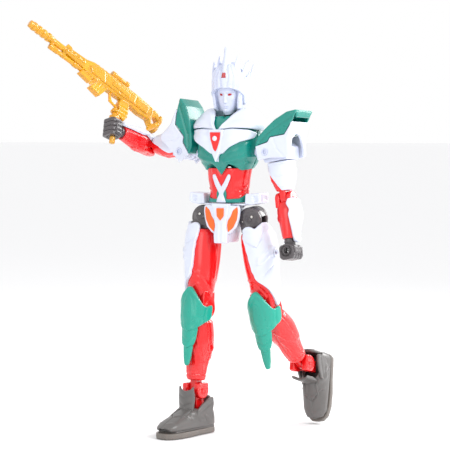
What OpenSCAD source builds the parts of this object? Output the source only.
// Jointed action figure with a toy rifle: screwed plastic shells on pinned hinges.
// Millimetres, +Z up. The figure faces -Y and its left is +X. The origin is on the
// ground, at the middle of the right sole.

/* [Skeleton] */
// Distance of each hip joint from the middle
hip_half = 18.5; // [18:0.5:20]
// Hip joint to knee pin
thigh_len = 64; // [62:1:68]
// Knee pin to ankle pin
shin_len = 57; // [55:1:60]
// Ankle pin to the pin that tilts the boot
tilt_drop = 12; // [12:0.5:13]
// Tilt pin to the ground under the sole
boot_height = 18; // [18:0.5:20]
// Hip joints to the waist plane
waist_h = 13; // [13:0.5:15]
// Distance of each shoulder pin from the middle
shoulder_half = 35; // [34.5:0.5:36]
// Waist plane to the shoulder pins
shoulder_h = 33; // [32:0.5:34]
// Waist plane to the foot of the neck
neck_h = 57; // [56:0.5:58]
// Foot of the neck to the nodding pin of the head
nod_h = 6; // [6:0.5:7]
// Shoulder pin to the middle of the upper arm, sideways
arm_offset = 5; // [4.5:0.5:5.5]
// Shoulder pin to elbow pin
upper_arm_len = 33; // [32:0.5:36]
// Elbow pin to wrist
forearm_len = 29; // [28:0.5:32]
// Wrist to the middle of the hole in the fist
grip_drop = 7; // [7:0.5:8]

/* [Pose at rest] */
// Left leg: swing forward, spread, turn out, knee bend, toe down, boot tilt
left_leg = [-5, 7, -6, 36.6, 30, 3];
// Right leg, the standing one: swing forward, spread, turn out, knee bend
right_leg = [9, 0, 12, 2];
// Left arm: swing forward, raise, turn out, elbow bend, wrist turn, shoulder pad lift
left_arm = [2, 10, 0, 4, 0, 10];
// Right arm, holding the rifle: the same six angles
right_arm = [3, 88, 18, 77, -82, 49];
// Turn of the chest at the waist
waist_turn = -4; // [-20:1:20]
// Turn of the head
neck_turn = 10; // [-20:1:20]
// Nod of the head
head_nod = 5; // [-10:1:10]
// Turn of the rifle about its grip
rifle_turn = 5; // [0:1:30]

/* [Fits] */
// Radial clearance of a pin that turns
run_fit = 0.05; // [0.03:0.01:0.08]
// Free gap between parts that move past each other
gap = 0.35; // [0.3:0.05:0.4]
// Gap under an armour plate
skin_gap = 0.25; // [0.2:0.05:0.3]
// Radius of the hole in each fist
fist_bore = 2.1; // [2:0.05:2.3]
// Radius of the accessory hole in the thigh armour
socket_bore = 1.4; // [1.2:0.1:1.5]

/* [Hidden] */
$fn = 48;
LEFT = 1;
RIGHT = -1;
big = 200;

// A standing foot is flat on the ground, so its two ankle angles follow the leg
flat_pitch = atan(cos(right_leg[2]) * tan(right_leg[0])) - right_leg[3];
flat_tilt = -asin(sin(right_leg[2]) * sin(right_leg[0]));
standing_leg = concat(right_leg, [flat_pitch, flat_tilt]);

CENTRE_NODES = [
    "pelvis_front_shell", "pelvis_rear_shell", "pelvis_insets", "belt_plate",
    "abdomen_front_shell", "abdomen_rear_shell", "abdomen_trim", "belly_panel",
    "chest_front_shell", "chest_rear_shell", "chest_armour", "chest_emblem",
    "neck_post", "helmet_shell", "helmet_fins", "face_plate", "head_lenses", "rifle"
];
SIDE_NODES = [
    "hip_hub", "hip_block", "thigh_shell", "thigh_armour", "knee_guard",
    "shin_shell", "shin_screw", "ankle_block", "boot_upper", "boot_sole",
    "shoulder_hub", "shoulder_link", "shoulder_bracket", "pauldron",
    "upper_arm_inner", "upper_arm_outer",
    "upper_arm_screw", "forearm_shell", "forearm_armour", "forearm_screw", "hand"
];

// ---- points turned about an axis, for the foot that stands on the ground ----
function turn_x(v, a) = [v[0], v[1] * cos(a) - v[2] * sin(a), v[1] * sin(a) + v[2] * cos(a)];
function turn_y(v, a) = [v[0] * cos(a) + v[2] * sin(a), v[1], v[2] * cos(a) - v[0] * sin(a)];
function turn_z(v, a) = [v[0] * cos(a) - v[1] * sin(a), v[0] * sin(a) + v[1] * cos(a), v[2]];
function in_ankle(v, leg) = turn_y(v, leg[5]) - [0, 0, tilt_drop];
function in_shin(v, leg) = turn_x(in_ankle(v, leg), leg[4]) - [0, 0, shin_len];
function in_thigh(v, leg) = turn_x(in_shin(v, leg), leg[3]) - [0, 0, thigh_len];
function in_pelvis(v, leg) =
    turn_x(turn_y(turn_z(in_thigh(v, leg), leg[2]), -leg[1]), -leg[0]) + [hip_half, 0, 0];
sole_middle = [0, -12, -boot_height];
sole_in_pelvis = in_pelvis(sole_middle, standing_leg);
pelvis_at = [sole_in_pelvis[0], -sole_in_pelvis[1], -sole_in_pelvis[2]];

// ---- frames: each limb is built as a left one, and the right one is its mirror image ----
function leg_of(side) = side == LEFT ? left_leg : standing_leg;
function arm_of(side) = side == LEFT ? left_arm : right_arm;
module on_side(side) mirror([side == LEFT ? 0 : 1, 0, 0]) children();
module in_pelvis_frame() translate(pelvis_at) children();
module in_torso_frame() in_pelvis_frame() translate([0, 0, waist_h]) rotate([0, 0, waist_turn]) children();
module in_neck_frame() in_torso_frame() translate([0, 2, neck_h]) rotate([0, 0, neck_turn]) children();
module in_head_frame() in_neck_frame() translate([0, 0, nod_h]) rotate([head_nod, 0, 0]) children();
module on_hip_hub(side) in_pelvis_frame() on_side(side) translate([hip_half, 0, 0])
    rotate([-leg_of(side)[0], 0, 0]) children();
module on_hip_block(side) on_hip_hub(side) rotate([0, -leg_of(side)[1], 0]) children();
module on_thigh(side) on_hip_block(side) rotate([0, 0, leg_of(side)[2]]) children();
module on_shin(side) on_thigh(side) translate([0, 0, -thigh_len]) rotate([leg_of(side)[3], 0, 0]) children();
module on_ankle(side) on_shin(side) translate([0, 0, -shin_len]) rotate([leg_of(side)[4], 0, 0]) children();
module on_boot(side) on_ankle(side) translate([0, 0, -tilt_drop]) rotate([0, leg_of(side)[5], 0]) children();
module on_shoulder_hub(side) in_torso_frame() on_side(side) translate([shoulder_half, 0, shoulder_h])
    rotate([-arm_of(side)[0], 0, 0]) children();
module on_shoulder(side) on_shoulder_hub(side) rotate([0, -arm_of(side)[1], 0]) children();
module on_pad(side) on_shoulder_hub(side) rotate([0, -arm_of(side)[5], 0]) children();
module on_upper_arm(side) on_shoulder(side) translate([arm_offset, 0, 0])
    rotate([0, 0, arm_of(side)[2]]) children();
module on_forearm(side) on_upper_arm(side) translate([0, 0, -upper_arm_len])
    rotate([-arm_of(side)[3], 0, 0]) children();
module on_hand(side) on_forearm(side) translate([0, 0, -forearm_len]) rotate([0, 0, arm_of(side)[4]]) children();
module on_rifle() on_hand(RIGHT) translate([0, 0, -grip_drop]) rotate([0, rifle_turn, 0]) children();

// ---- shapes ----
// A body is a table of level sections, highest first:
// [height, x centre, y centre, half width, depth in front, depth behind, squareness]
function section(body, z) = [for (i = [0:6]) lookup(z, [for (s = body) [s[0], s[i]]])];
function bent(v, power) = sign(v) * pow(abs(v), 2 / power);
// Point of a body's surface at height z and angle a, from the front towards +X
function skin(body, z, a, grow = 0) =
    let (s = section(body, z), depth = cos(a) > 0 ? s[4] : s[5])
    [s[1] + (s[3] + grow) * bent(sin(a), s[6]), s[2] - (depth + grow) * bent(cos(a), s[6]), z];

module loft(body, sides = 24) {
    last = len(body) - 1;
    function at(k, i) = k * sides + i % sides;
    polyhedron(
        [for (s = body) for (i = [0:sides - 1]) skin(body, s[0], 360 * i / sides)],
        concat(
            [[for (i = [sides - 1:-1:0]) i], [for (i = [0:sides - 1]) at(last, i)]],
            [for (k = [0:last - 1]) for (i = [0:sides - 1]) [at(k, i), at(k, i + 1), at(k + 1, i + 1)]],
            [for (k = [0:last - 1]) for (i = [0:sides - 1]) [at(k, i), at(k + 1, i + 1), at(k + 1, i)]]
        ),
        convexity = 6
    );
}

// A moulded plate that follows a body's surface. net is a grid of [angle, height],
// rows from the top down and angles from the front towards +X
module plate(body, net, thick, lift = skin_gap) {
    rows = len(net);
    cols = len(net[0]);
    function outer(r, c) = r * cols + c;
    function inner(r, c) = rows * cols + outer(r, c);
    function two(a, b, c, d) = [[a, b, c], [a, c, d]];
    quads = concat(
        [for (r = [0:rows - 2]) for (c = [0:cols - 2])
            two(outer(r, c), outer(r, c + 1), outer(r + 1, c + 1), outer(r + 1, c))],
        [for (r = [0:rows - 2]) for (c = [0:cols - 2])
            two(inner(r, c), inner(r + 1, c), inner(r + 1, c + 1), inner(r, c + 1))],
        [for (c = [0:cols - 2]) two(inner(0, c), inner(0, c + 1), outer(0, c + 1), outer(0, c))],
        [for (c = [0:cols - 2])
            two(outer(rows - 1, c), outer(rows - 1, c + 1), inner(rows - 1, c + 1), inner(rows - 1, c))],
        [for (r = [0:rows - 2]) two(outer(r, 0), outer(r + 1, 0), inner(r + 1, 0), inner(r, 0))],
        [for (r = [0:rows - 2])
            two(outer(r + 1, cols - 1), outer(r, cols - 1), inner(r, cols - 1), inner(r + 1, cols - 1))]
    );
    polyhedron(
        concat(
            [for (row = net) for (p = row) skin(body, p[1], p[0], lift + thick)],
            [for (row = net) for (p = row) skin(body, p[1], p[0], lift)]
        ),
        [for (q = quads) for (f = q) f],
        convexity = 6
    );
}
// Grid of a plate given by [height, first angle, last angle] rows
function strip_net(strips, steps = 6) =
    [for (s = strips) [for (c = [0:steps]) [s[1] + (s[2] - s[1]) * c / steps, s[0]]]];
// Grid of a plate given by [angle, top, bottom] columns
function column_net(columns, steps = 5) =
    [for (r = [0:steps]) [for (c = columns) [c[0], c[1] + (c[2] - c[1]) * r / steps]]];

module x_rod(r, x0, x1) translate([x0, 0, 0]) rotate([0, 90, 0]) cylinder(r = r, h = x1 - x0);
module y_rod(r, y0, y1) translate([0, y1, 0]) rotate([90, 0, 0]) cylinder(r = r, h = y1 - y0);
module z_rod(r, z0, z1) translate([0, 0, z0]) cylinder(r = r, h = z1 - z0);
module block(lo, hi) translate(lo) cube(hi - lo);
// An outline given as [x, z] points, extruded from y0 to y1
module front_outline(points, y0, y1)
    translate([0, y1, 0]) rotate([90, 0, 0]) linear_extrude(height = y1 - y0) polygon(points);
// An outline given as [y, z] points, extruded from x0 to x1
module side_outline(points, x0, x1)
    translate([x0, 0, 0]) rotate([90, 0, 90]) linear_extrude(height = x1 - x0) polygon(points);
module front_half() intersection() { children(); block([-big, -big, -big], [big, 0, big]); }
module rear_half() intersection() { children(); block([-big, 0, -big], [big, big, big]); }

// ---- joint hardware ----
hub_r = 3.2;
flange_r = 4.6;
post_r = 3.2;
pin_r = 1.6;
knee_pin_r = 1.9;
small_pin_r = 1.4;
elbow_pin_r = 1.2;

// Peg that turns in a body's side and ends in a knuckle for a front-to-back pin
module side_hub(peg_from, peg_to, knuckle_r, knuckle_half) {
    x_rod(flange_r, peg_from, peg_from + 2.2);
    x_rod(hub_r, peg_from, peg_to);
    difference() {
        union() {
            y_rod(knuckle_r, -knuckle_half, knuckle_half);
            x_rod(hub_r, peg_to - 0.01, 0);
        }
        y_rod(pin_r + run_fit, -big, big);
    }
}
// Room for that peg and its flange in the body
module side_hub_room(peg_from, out) {
    x_rod(flange_r + gap, peg_from - gap, peg_from + 2.2 + gap);
    x_rod(hub_r + run_fit, peg_from, out);
}
// Post with a flange that a shell closes round, and the room for it
module turning_post(top, length) {
    z_rod(post_r, top - length, top);
    z_rod(flange_r, top - length - 1.8, top - length);
}
module turning_post_room(top, length) {
    z_rod(post_r + run_fit, top - length - 1, top + 1);
    z_rod(flange_r + gap, top - length - 1.8 - gap, top - length + gap);
}
// Screw head and shank sunk into the inner side of a limb, and the hole for it
screw_head_r = 1.7;
screw_shank_r = 0.9;
module inner_screw(x, y, z) translate([0, y, z]) {
    difference() {
        x_rod(screw_head_r, x, x + 1.2);
        block([x - 1, -0.25, -1.1], [x + 0.6, 0.25, 1.1]);
        block([x - 1, -1.1, -0.25], [x + 0.6, 1.1, 0.25]);
    }
    x_rod(screw_shank_r, x + 1.2, x + 4.2);
}
module inner_screw_room(x, y, z) translate([0, y, z]) {
    x_rod(screw_head_r + 0.3, x - 9, x + 1.2);
    x_rod(screw_shank_r + 0.02, x, x + 4.4);
}

// ---- pelvis ----
pelvis_body = [
    [9.4, 0, 0, 11.5, 10.5, 8.5, 3], [5, 0, 0, 8.2, 11.5, 8, 3], [-5, 0, 0, 7.8, 11.5, 8, 3],
    [-8, 0, 0, 6.4, 11, 7.5, 3], [-15.5, 0, -1, 5.4, 9, 6, 3]
];
hip_peg_from = -15.9;
post_foot_r = 4;
post_foot_z = 5.2;
module pelvis_rooms() {
    for (side = [LEFT, RIGHT]) on_side(side) translate([hip_half, 0, 0]) side_hub_room(hip_peg_from, 0);
    z_rod(post_foot_r + 0.02, post_foot_z, 20);
}
wing_outline = [[4.5, -8.5], [7.5, -6.5], [10, -1.5], [11.4, 5], [11.6, 9.4], [8, 9.4], [4.5, 8]];
inset_outline = [
    [5.4, -7], [7.3, -5.2], [9.3, -1], [10.5, 4.6], [10.7, 8], [9.3, 6.5], [8, 2.6], [6.2, -1.6], [5.2, -3.6]
];
buckle_outline = [[-6, 9.4], [6, 9.4], [5.4, 1], [4, -8], [3.4, -13], [-3.4, -13], [-4, -8], [-5.4, 1]];
shield_outline = [[-3, 6.4], [3, 6.4], [2.6, 1.6], [0, -1.4], [-2.6, 1.6]];
module pelvis_front_shell() color("white") {
    difference() {
        union() {
            front_half() loft(pelvis_body);
            for (side = [LEFT, RIGHT]) on_side(side) front_outline(wing_outline, -13.4, -9.6);
            front_outline(buckle_outline, -14.6, -8);
        }
        pelvis_rooms();
    }
}
module pelvis_rear_shell() color("white") difference() {
    rear_half() loft(pelvis_body);
    pelvis_rooms();
}
module pelvis_insets() color("darkorange") {
    for (side = [LEFT, RIGHT]) on_side(side) front_outline(inset_outline, -14, -13.4);
    front_outline(shield_outline, -15.2, -14.6);
}
// Belt plate on the pelvis: a pod on each hip and the post that the torso turns on
belt_top = 10.6;
pod_inner = 15.5;
pod_outline = [
    [12, 9.4], [15.6, 9.5], [21.5, 10.2], [26.6, 10.8], [28, 12.4], [27.4, 18.2], [16, 17.2], [12, 13]
];
module belt_plate() color("white") {
    block([-13, -9.5, 9.4], [13, 7, belt_top]);
    for (side = [LEFT, RIGHT]) on_side(side) difference() {
        front_outline(pod_outline, -8.5, 5.5);
        z_rod(pod_inner, belt_top, 30);
    }
    z_rod(post_foot_r, post_foot_z, 9.6);
    z_rod(post_r, 10, waist_h + 6);
    z_rod(flange_r, waist_h + 6, waist_h + 8);
}

// ---- torso ----
abdomen_body = [
    [20.7, 0, 0, 16.6, 10.5, 10, 2.4], [14, 0, 0, 15.4, 10.5, 9.5, 2.4],
    [6, 0, 0, 14.2, 10.5, 9.5, 2.4], [-2, 0, 0, 13.8, 10.5, 9, 2.4]
];
module waist_room() {
    z_rod(post_r + run_fit, -10, 7);
    z_rod(flange_r + gap, 6 - gap, 8 + gap);
}
module abdomen_front_shell() color("red") difference() {
    front_half() loft(abdomen_body);
    waist_room();
}
module abdomen_rear_shell() color("red") difference() {
    rear_half() loft(abdomen_body);
    waist_room();
}
trim_arm = [[17, 24, 31], [13, 16, 26], [9.6, 6, 17], [8.2, 0, 13], [6.6, 0, 9]];
trim_stem = [[6.6, -9, 9], [3.4, -7, 7], [1, -11, 11], [-1.9, -15, 15]];
module abdomen_trim() color("white") {
    plate(abdomen_body, strip_net(trim_arm, 2), 1, 0.05);
    mirror([1, 0, 0]) plate(abdomen_body, strip_net(trim_arm, 2), 1, 0.05);
    plate(abdomen_body, strip_net(trim_stem, 4), 1.4, 0.05);
}
belly_side = [[7, 11, 14], [6, 11, 18], [4, 10, 26], [1.4, 14, 32], [-0.4, 17, 62], [-1.9, 19, 84]];
module belly_panel() color("teal") {
    plate(abdomen_body, strip_net(belly_side, 8), 0.6, 0.4);
    mirror([1, 0, 0]) plate(abdomen_body, strip_net(belly_side, 8), 0.6, 0.4);
}
chest_body = [
    [61, 0, 2, 14.5, 6, 7.5, 2.4], [58, 0, 1.5, 19, 9, 10, 2.4], [53, 0, 0.5, 22.2, 12.5, 11.5, 2.5],
    [47, 0, 0, 22.6, 15.4, 12.4, 2.8], [40, 0, 0, 22, 17, 12.5, 3], [31, 0, 0, 21.8, 15.8, 12.5, 3],
    [26, 0, 0, 20.6, 14, 12, 2.8], [21, 0, 0, 17.4, 11.4, 11, 2.6]
];
shoulder_peg_from = -20;
// The collar stands round a well for the neck, open to the front
neck_well_r = 11.2;
neck_well_floor = 56.6;
collar_gap = 6.5;
module chest_rooms() {
    for (side = [LEFT, RIGHT]) on_side(side)
        translate([shoulder_half, 0, shoulder_h]) side_hub_room(shoulder_peg_from, 0);
    translate([0, 2, 0]) {
        z_rod(post_r + run_fit, 50, 60);
        z_rod(flange_r + gap, 49.2 - gap, 51 + gap);
        z_rod(neck_well_r, neck_well_floor, 80);
    }
    block([-collar_gap, -20, neck_well_floor], [collar_gap, 2, 80]);
}
module chest_front_shell() color("teal") difference() {
    front_half() loft(chest_body);
    chest_rooms();
}
module chest_rear_shell() color("teal") difference() {
    rear_half() loft(chest_body);
    chest_rooms();
}
// Breast plate: a V below, and a V for the neck above
breast_side = [
    [0, 43.5, 27.2], [9, 45.5, 28.6], [20, 50, 31], [32, 55.5, 34], [44, 58.6, 37], [56, 57, 39.6], [67, 52, 41.6]
];
breast_columns = concat(
    [for (i = [len(breast_side) - 1:-1:1]) [-breast_side[i][0], breast_side[i][1], breast_side[i][2]]],
    breast_side
);
breast_thick = 1.8;
breast_lift = 0.6;
module chest_armour() color("white") plate(chest_body, column_net(breast_columns, 9), breast_thick, breast_lift);
emblem_rows = [[43.2, -17, 17], [39, -14, 14], [34.5, -10, 10], [31.5, -2, 2]];
module chest_emblem() color("red") {
    plate(chest_body, strip_net(emblem_rows, 4), 0.7, breast_lift + breast_thick + 0.35);
    translate([0, 0, 39.4]) y_rod(2.1, -21.6, -20.4);
}
module neck_post() color("darkslategray") {
    z_rod(flange_r, -7.8, -6);
    z_rod(post_r, -7.8, 0);
    z_rod(5.4, 0, 1.6);
    z_rod(2.6, 0, nod_h);
    translate([0, 0, nod_h]) x_rod(3, -4.5, 4.5);
}

// ---- head ----
head_body = [
    [33, 0, 1, 3, 4, 4, 2], [31, 0, 1, 7, 8, 8, 2], [26, 0, 1, 10, 11.4, 11, 2.2],
    [18, 0, 0.5, 11.3, 12.4, 12, 2.3], [10, 0, 0, 11, 12, 11, 2.3], [3.5, 0, 0, 9.4, 10.5, 8.5, 2.2],
    [-2, 0, -1, 6.6, 8, 5.5, 2.2]
];
face_body = [
    [19.4, 0, 0, 7.4, 11.6, 5, 2.6], [12, 0, 0, 7.6, 12.4, 5, 2.4], [4, 0, 0, 6.6, 12, 5, 2.2],
    [-2.4, 0, 0, 3.6, 9.6, 5, 2.2]
];
face_depth = -6.6;
face_pocket = [[-7.9, 19.8], [7.9, 19.8], [7.9, 5], [5.6, -8], [-5.6, -8], [-7.9, 5]];
crest_outline = [[-11.6, 24], [-12.2, 30], [-8.6, 38], [-7, 44], [-3, 38], [3, 33], [6, 29], [0, 26]];
module helmet_shell() color("lavender") difference() {
    union() {
        loft(head_body);
        side_outline(crest_outline, -1.5, 1.5);
    }
    front_outline(face_pocket, -20, face_depth);
    x_rod(3 + run_fit, -4.5 - gap, 4.5 + gap);
    block([-2.6 - gap, -4, -8], [2.6 + gap, 4.4, 0.5]);
}
eye_outline = [[1.6, 11.4], [3.4, 12.6], [5.6, 13], [5.4, 11.2], [3.6, 10.4]];
gem_outline = [[-1.6, 25.8], [0, 27.8], [1.6, 25.8], [0, 22.6]];
module face_plate() color("lavender") difference() {
    intersection() {
        loft(face_body);
        block([-big, -big, -big], [big, face_depth - 0.05, big]);
    }
    for (side = [LEFT, RIGHT]) on_side(side) front_outline(eye_outline, -20, -9.4);
}
module head_lenses() color("darkred") {
    for (side = [LEFT, RIGHT]) on_side(side) front_outline(eye_outline, -10.9, -9.45);
    front_outline(gem_outline, -13.6, -12.3);
}
fin_low = [[24, 72, 110], [18, 66, 116], [10, 62, 116], [3.5, 68, 108], [0, 76, 96]];
feather_outline = [
    [-5, 14], [-2, 21], [4, 27], [10.6, 31], [8, 25], [9.6, 24], [6.6, 18], [7.4, 16], [3, 10], [-1, 8]
];
module helmet_fins() color("lavender") for (side = [LEFT, RIGHT]) on_side(side) {
    plate(head_body, strip_net(fin_low, 4), 1.3, 0.3);
    side_outline(feather_outline, 12.4, 14.2);
}

// ---- leg ----
hip_block_r = 8.5;
block_half = 6.4;
thigh_top = -9.4;
// Outline that the hub's peg sweeps in the block as the leg spreads
function turned(x, z, a) = [x * cos(a) - z * sin(a), x * sin(a) + z * cos(a)];
peg_up = 12;
peg_down = -34;
peg_sweep = [
    turned(-14, hub_r + gap, peg_down), turned(0, hub_r + gap, peg_down), [3, 0],
    turned(0, -hub_r - gap, peg_up), turned(-14, -hub_r - gap, peg_up)
];
module hip_hub() color("dimgray") side_hub(hip_peg_from, -4, 4.6, 3);
module hip_block() color("dimgray") {
    difference() {
        union() {
            intersection() {
                y_rod(hip_block_r, -block_half, block_half);
                x_rod(hip_block_r, -20, 20);
                block([-20, -20, -4], [20, 20, 20]);
            }
            block([-7.8, -block_half + 0.2, -9], [7.8, block_half - 0.2, -3.5]);
        }
        y_rod(4.6 + gap, -3 - gap, 3 + gap);
        front_outline(peg_sweep, -hub_r - gap, hub_r + gap);
    }
    y_rod(pin_r, -block_half, block_half);
    turning_post(-9, 6);
}
thigh_body = [
    [thigh_top, 0.5, 0, 10, 10, 10.3, 2.6], [-20, 0.5, 0, 11, 11, 11.5, 2.5], [-34, 0, 0, 10.4, 10.4, 10.4, 2.4],
    [-47, 0, 0, 9.2, 9, 8.8, 2.4], [-56, 0, 0, 8.8, 7.8, 6.2, 2.6]
];
cheek_in = 3.5;
cheek_out = 8.7;
knee_r = 6.8;
// Socket for an accessory, from the boss on the armour into the thigh
boss_z = -25;
boss_out = 14.6;
module accessory_socket() translate([0, 0, boss_z]) x_rod(socket_bore, 8, boss_out + 1);
module thigh_shell() color("red") {
    difference() {
        union() {
            loft(thigh_body);
            translate([0, 0, -thigh_len]) x_rod(knee_r, -cheek_out, cheek_out);
            block([-cheek_out, -6.6, -thigh_len], [cheek_out, 4.4, -55]);
        }
        turning_post_room(-9, 6);
        accessory_socket();
        translate([0, 0, -thigh_len]) {
            x_rod(6 + gap, -cheek_in - gap, cheek_in + gap);
            block([-cheek_in - gap, -4.6, -10], [cheek_in + gap, 20, 6.2]);
            block([-cheek_in - gap, -20, -10], [cheek_in + gap, 20, 0]);
        }
    }
    translate([0, 0, -thigh_len]) x_rod(knee_pin_r, -cheek_out, cheek_out);
}
armour_rows = [
    [-5.6, 42, 78], [-8, 22, 104], [thigh_top, 14, 120], [-15, 4, 132], [-20, 8, 138], [-27, 10, 138],
    [-34, 20, 134], [-40, 34, 128], [-47, 58, 122], [-54, 84, 112]
];
module thigh_armour() color("white") difference() {
    union() {
        plate(thigh_body, strip_net(armour_rows, 8), 1.8);
        translate([0, 0, boss_z]) x_rod(2.8, 12.4, boss_out);
    }
    accessory_socket();
}
// The guard stands clear in front of the knee, and its ears hold it on the thigh
guard_body = [
    [-48, 0, 0, 9.4, 10.4, 9, 2.6], [-56, 0, 0, 9.2, 10.2, 9.4, 5], [-70, 0, 0, 9.2, 10, 9.4, 5],
    [-76, 0, 0, 9.8, 9.8, 9, 2.6], [-105, 0, 0, 9.8, 9.2, 9, 2.4]
];
guard_rows = [
    [-48, -6, 6], [-52, -30, 30], [-56, -42, 42], [-58, -48, 48], [-60, -96, 96], [-69, -96, 96],
    [-74, -54, 54], [-76.8, -44, 44], [-77.6, -34, 34], [-89, -30, 30], [-89.6, -21, 21], [-99, -17, 17],
    [-103, -5, 5]
];
module knee_guard() color("mediumseagreen") plate(guard_body, strip_net(guard_rows, 10), 1.8, 0.05);

shin_body = [
    [-2.5, 0, -0.5, 8.4, 6.6, 6.4, 2.4], [-12, 0, 0, 8.8, 8.2, 9.5, 2.4], [-22, 0, 0.5, 9.2, 8.2, 11, 2.3],
    [-33, 0, 0.5, 8.2, 7.6, 9.5, 2.3], [-41, 0, 0, 7.2, 7, 7.4, 2.3], [-50.2, 0, 0, 6.2, 6.2, 5.9, 2.3]
];
ankle_tongue = 2.5;
shin_screw_at = [-7.9, 3, -27];
module shin_shell() color("red") difference() {
    union() {
        difference() {
            loft(shin_body);
            x_rod(knee_r + gap, -big, big);
        }
        x_rod(6, -cheek_in, cheek_in);
        block([-cheek_in, -3.8, -10], [cheek_in, 3.8, 0]);
        translate([0, 0, -shin_len]) {
            x_rod(4, -ankle_tongue, ankle_tongue);
            block([-ankle_tongue, -3, 0], [ankle_tongue, 3, 8]);
        }
    }
    x_rod(knee_pin_r + run_fit, -big, big);
    translate([0, 0, -shin_len]) x_rod(small_pin_r + run_fit, -big, big);
    inner_screw_room(shin_screw_at[0], shin_screw_at[1], shin_screw_at[2]);
}
module shin_screw() color("silver") inner_screw(shin_screw_at[0], shin_screw_at[1], shin_screw_at[2]);

cuff_r = 6.2;
cuff_half = 7.3;
module ankle_block() color("red") {
    difference() {
        union() {
            x_rod(cuff_r, -cuff_half, cuff_half);
            block([-4, -4, -tilt_drop], [4, 4, 0]);
            translate([0, 0, -tilt_drop]) y_rod(3.8, -4, 4);
        }
        x_rod(4 + gap, -ankle_tongue - gap, ankle_tongue + gap);
        block([-ankle_tongue - gap, -20, 0], [ankle_tongue + gap, 20, 20]);
        translate([0, 0, -tilt_drop]) y_rod(small_pin_r + run_fit, -big, big);
    }
    x_rod(small_pin_r, -cuff_half, cuff_half);
}
// The boot is lofted from the toe back to the heel: its heights run along -Y
boot_body = [
    [35.5, 0, -11.4, 5, 2.5, 1.4, 2.5], [31, 0, -11.4, 8, 2.5, 4, 2.6], [22, 0, -11.4, 9.4, 2.5, 7.6, 2.6],
    [12, 0, -11.4, 9.6, 2.5, 12, 2.6], [7.6, 0, -11.4, 9.6, 2.5, 14.4, 2.8], [-4, 0, -11.4, 9.5, 2.5, 15, 2.8],
    [-9, 0, -11.4, 8.8, 2.5, 17, 2.8], [-11.5, 0, -11.4, 7.4, 2.5, 15, 2.8]
];
tongue_outline = [[-8, -2], [-9, 6], [-10, 15.6], [-12, 16], [-12, 6], [-14, -2]];
module boot_upper() color("dimgray") {
    difference() {
        union() {
            rotate([90, 0, 0]) loft(boot_body, 20);
            side_outline(tongue_outline, -5.4, 5.4);
        }
        block([-7.8, -4 - gap, -4.4], [7.8, 4 + gap, 20]);
        translate([0, 0, tilt_drop]) x_rod(cuff_r + gap + 0.6, -20, 20);
    }
    y_rod(small_pin_r, -7.6, 7.6);
}
sole_half = [[4, -37], [7.8, -33.5], [10, -25], [9.6, -10], [8.8, 0], [8.8, 10], [6.6, 12]];
module boot_sole() color("gray") difference() {
    translate([0, 0, -boot_height]) linear_extrude(height = 4.05)
        polygon(concat(sole_half, [for (i = [len(sole_half) - 1:-1:0]) [-sole_half[i][0], sole_half[i][1]]]));
    translate([0, 2, -boot_height]) x_rod(2.4, -20, 20);
}

// ---- arm ----
shoulder_r = 5.4;
shoulder_knuckle = 2.9;
link_half = 8.6;
link_outline = [[-3.6, -4.2], [-2.5, -7], [14.5, -7], [15.5, 1.5], [12, 5], [0, 5.6]];
module shoulder_hub() color("lavender") side_hub(shoulder_peg_from, -4.4, shoulder_r, shoulder_knuckle);
// Fork that lifts the arm on the shoulder pin and carries the post that the arm turns on
module shoulder_link() color("lavender") {
    difference() {
        union() {
            y_rod(shoulder_r + 0.2, -link_half, link_half);
            front_outline(link_outline, -link_half, link_half);
        }
        y_rod(shoulder_r + gap, -shoulder_knuckle - gap, shoulder_knuckle + gap);
        block([-20, -hub_r - gap, -hub_r - 1.2], [hub_r + gap, hub_r + gap, 20]);
        y_rod(pin_r + run_fit, -20, 20);
    }
    translate([arm_offset, 0, 0]) turning_post(-7, 3);
}
// Shoulder pad on the same pin: white side plates and an open outer wall under a sloping roof
pad_in = 10;
pad_out = 11.8;
pad_outline = [
    [-6.8, 5], [-6, -4.9], [3, -4.6], [16, -6.4], [18.4, -5.6], [19.2, 6], [25, 18], [17, 9.2], [5.6, 9.2],
    [3, 6.2]
];
pad_hollow = [[-20, -20], [17.4, -20], [17.4, 6], [22.8, 17.2], [23, 30], [-20, 30]];
module shoulder_bracket() color("white") {
    difference() {
        front_outline(pad_outline, -pad_out, pad_out);
        front_outline(pad_hollow, -pad_in, pad_in);
        block([10, -pad_in, -20], [40, pad_in, 6]);
    }
    y_rod(pin_r, -pad_out, pad_out);
}
pauldron_outline = [
    [-7, 5.4], [-4, 11], [2.8, 15.8], [11, 20.6], [21, 24.2], [28.6, 24.4], [24.9, 18.6], [16.8, 9.7],
    [5.3, 9.7], [2.7, 6.7]
];
roof_under = [[-5.2, 4], [-2.8, 10], [3.6, 14.4], [11.6, 19], [21.6, 22.6], [26.6, 22.6], [30, 0]];
module pauldron() color("teal") difference() {
    front_outline(pauldron_outline, -pad_out, pad_out);
    front_outline(roof_under, -pad_in, pad_in);
    block([-20, -hub_r - gap, -20], [0.6, hub_r + gap, 20]);
}
upper_arm_body = [
    [-7.4, 0, 0, 9, 7.5, 7.5, 3], [-16, 0, 0, 9.2, 7.5, 7.5, 3], [-23, 0, 0, 7.6, 6.8, 6.6, 2.6],
    [-27.6, 0, 0, 6, 5.6, 5.6, 2.4]
];
arm_split = -1.5;
upper_arm_screw_at = [-7, 0, -15.6];
module upper_arm_rooms() {
    turning_post_room(-7, 3);
    inner_screw_room(upper_arm_screw_at[0], upper_arm_screw_at[1], upper_arm_screw_at[2]);
}
elbow_tongue = 2.4;
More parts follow.
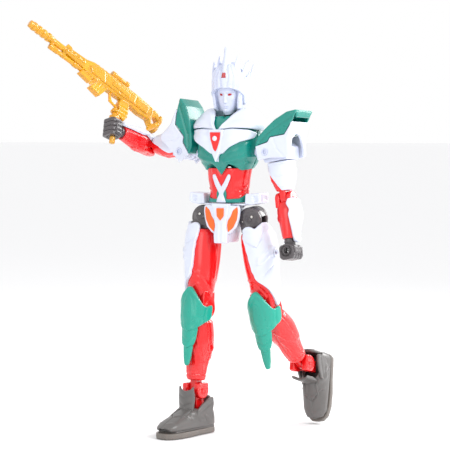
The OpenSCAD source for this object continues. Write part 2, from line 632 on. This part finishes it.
module upper_arm_inner() color("red") {
    difference() {
        union() {
            intersection() {
                loft(upper_arm_body, 20);
                block([-big, -big, -big], [arm_split, big, big]);
            }
            translate([0, 0, -upper_arm_len]) {
                x_rod(4.2, -elbow_tongue, elbow_tongue);
                block([-elbow_tongue, -3.4, 0], [elbow_tongue, 3.4, 9]);
            }
        }
        upper_arm_rooms();
        translate([0, 0, -upper_arm_len]) x_rod(elbow_pin_r + run_fit, -20, 20);
    }
}
module upper_arm_outer() color("white") difference() {
    intersection() {
        loft(upper_arm_body, 20);
        block([arm_split, -big, -big], [big, big, big]);
    }
    upper_arm_rooms();
    translate([0, 0, -upper_arm_len]) block([-elbow_tongue - 0.02, -3.42, 0], [elbow_tongue + 0.02, 3.42, 9.02]);
}
module upper_arm_screw() color("silver")
    inner_screw(upper_arm_screw_at[0], upper_arm_screw_at[1], upper_arm_screw_at[2]);
forearm_body = [
    [-2, 0, 0.5, 6.2, 4.6, 5.6, 2.4], [-9, 0, 1, 7.2, 6.8, 7.4, 2.2], [-17, 0, 0.6, 6.2, 6, 6.2, 2.2],
    [-26.6, 0, 0, 4.8, 4.8, 4.8, 2.2]
];
forearm_screw_at = [-5.6, 0.6, -13];
wrist_r = 2.2;
module forearm_shell() color("red") {
    difference() {
        union() {
            loft(forearm_body);
            x_rod(4.8, -6.2, 6.2);
            block([-6.2, -4.2, -6], [6.2, 5, 0]);
        }
        x_rod(4.2 + gap, -elbow_tongue - gap, elbow_tongue + gap);
        block([-elbow_tongue - gap, -20, -3.6], [elbow_tongue + gap, 4, 20]);
        inner_screw_room(forearm_screw_at[0], forearm_screw_at[1], forearm_screw_at[2]);
        z_rod(wrist_r + run_fit, -40, -21);
    }
    x_rod(elbow_pin_r, -6.2, 6.2);
}
forearm_plate_rows = [[-2, 84, 110], [-6, 60, 134], [-12, 44, 146], [-19, 42, 144], [-26, 50, 130], [-29.5, 70, 118]];
module forearm_armour() color("white") {
    plate(forearm_body, strip_net(forearm_plate_rows, 6), 2.2, 0.65);
    translate([0, 0.4, -17]) x_rod(2.4, 8.6, 10.4);
}
module forearm_screw() color("silver") inner_screw(forearm_screw_at[0], forearm_screw_at[1], forearm_screw_at[2]);
fist_outline = [
    [-4.2, -2.8], [4.2, -2.8], [5.6, -4.4], [5.6, -11.4], [4, -13.2], [-4, -13.2], [-5.6, -11.4], [-5.6, -4.4]
];
module hand() color("dimgray") {
    z_rod(wrist_r, -1, 7.6);
    difference() {
        front_outline(fist_outline, -6.6, 6.6);
        translate([0, 0, -grip_drop]) y_rod(fist_bore, -20, 20);
    }
    z_rod(3.6, -3, 2);
}

// ---- rifle ----
grip_rake = 15;
module rifle_frame() rotate([grip_rake, 0, 0]) children();
// In the rifle's own plane the muzzle is towards -Z and its top towards +Y
module rifle_part(points, half) side_outline(points, -half, half);
module rifle_barrel(r, up, from, to) translate([0, up, 0]) z_rod(r, -to, -from);
module rifle() color("orange") {
    y_rod(fist_bore - run_fit, -11, 16);
    y_rod(3.6, 7.2, 10);
    rifle_frame() {
        rifle_part([[24, 24], [34, 26], [36, 4], [36, -34], [33, -58], [26, -58], [23, -34], [24, -4]], 3.4);
        rifle_part([[18, 32], [26, 34], [32, 24], [26, 18], [23, 22]], 2.4);
        rifle_part([[17, -20], [25, -16], [25, -38], [19, -40]], 2.8);
        rifle_part([[10, 5], [25, 4], [25, -8], [16, -6], [11, -2]], 3);
        rifle_part([[35, -2], [39.4, -4], [39.4, -12], [35, -14]], 1.8);
        rifle_barrel(2.3, 30, 54, 70);
        rifle_barrel(3.1, 30, 70, 90);
        rifle_barrel(1.8, 24.6, 38, 74);
    }
}

in_pelvis_frame() pelvis_front_shell();
in_pelvis_frame() pelvis_rear_shell();
in_pelvis_frame() pelvis_insets();
in_pelvis_frame() belt_plate();
in_torso_frame() abdomen_front_shell();
in_torso_frame() abdomen_rear_shell();
in_torso_frame() abdomen_trim();
in_torso_frame() belly_panel();
in_torso_frame() chest_front_shell();
in_torso_frame() chest_rear_shell();
in_torso_frame() chest_armour();
in_torso_frame() chest_emblem();
in_neck_frame() neck_post();
in_head_frame() helmet_shell();
in_head_frame() helmet_fins();
in_head_frame() face_plate();
in_head_frame() head_lenses();
on_rifle() rifle();
for (side = [LEFT, RIGHT]) {
    prefix = side == LEFT ? "left_" : "right_";
    on_hip_hub(side) hip_hub();
    on_hip_block(side) hip_block();
    on_thigh(side) thigh_shell();
    on_thigh(side) thigh_armour();
    on_thigh(side) knee_guard();
    on_shin(side) shin_shell();
    on_shin(side) shin_screw();
    on_ankle(side) ankle_block();
    on_boot(side) boot_upper();
    on_boot(side) boot_sole();
    on_shoulder_hub(side) shoulder_hub();
    on_shoulder(side) shoulder_link();
    on_pad(side) shoulder_bracket();
    on_pad(side) pauldron();
    on_upper_arm(side) upper_arm_inner();
    on_upper_arm(side) upper_arm_outer();
    on_upper_arm(side) upper_arm_screw();
    on_forearm(side) forearm_shell();
    on_forearm(side) forearm_armour();
    on_forearm(side) forearm_screw();
    on_hand(side) hand();
}
